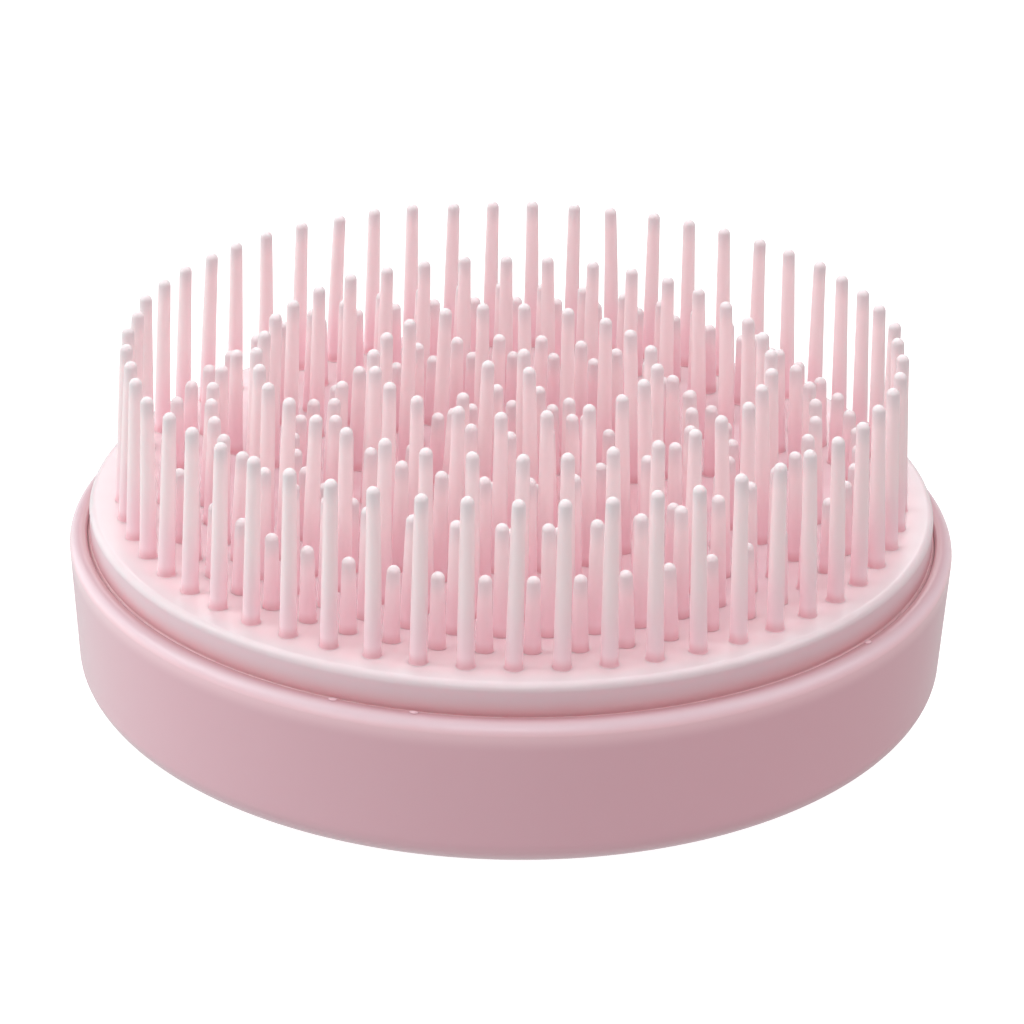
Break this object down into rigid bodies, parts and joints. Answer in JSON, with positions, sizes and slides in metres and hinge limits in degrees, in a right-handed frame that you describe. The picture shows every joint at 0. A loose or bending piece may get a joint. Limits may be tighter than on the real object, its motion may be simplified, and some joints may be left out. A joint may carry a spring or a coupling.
{
  "type": "scalp massager brush",
  "caption": "Round palm-held scalp massager brush: a hollow satin shell holds a pull-out soft pad with concentric rings of long, medium and short flexible bristles.",
  "frame": {"origin": "centre of the flat foot on the palm shell's back", "axes": "+Z along the object's axis, from the foot towards the bristle tips; X and Y lie in the foot's plane"},
  "size_m": [0.08, 0.08, 0.0337],
  "materials": {
    "shell": "satin moulded plastic, pale rose",
    "carrier": "plain moulded plastic, off-white rose",
    "pad": "satin soft elastomer, pale pink",
    "bristles": "satin translucent soft elastomer, paler pink at the tips"
  },
  "bodies": {
    "shell_body": {"palm_shell": "shell"},
    "bristle_cartridge": {"pad_carrier": "carrier", "soft_pad": "pad", "bristle_ring_01_long": "bristles", "bristle_ring_02_short": "bristles", "bristle_ring_03_medium": "bristles", "bristle_ring_04_long": "bristles", "bristle_ring_05_short": "bristles", "bristle_ring_06_medium": "bristles", "bristle_ring_07_long": "bristles", "bristle_ring_08_short": "bristles", "bristle_ring_09_medium": "bristles", "bristle_ring_10_long": "bristles"}
  },
  "joints": [
    {"name": "cartridge_pull_out", "type": "slide", "parent": "shell_body", "child": "bristle_cartridge", "axis": [0, 0, 1], "range_m": [0, 0.016]}
  ]
}
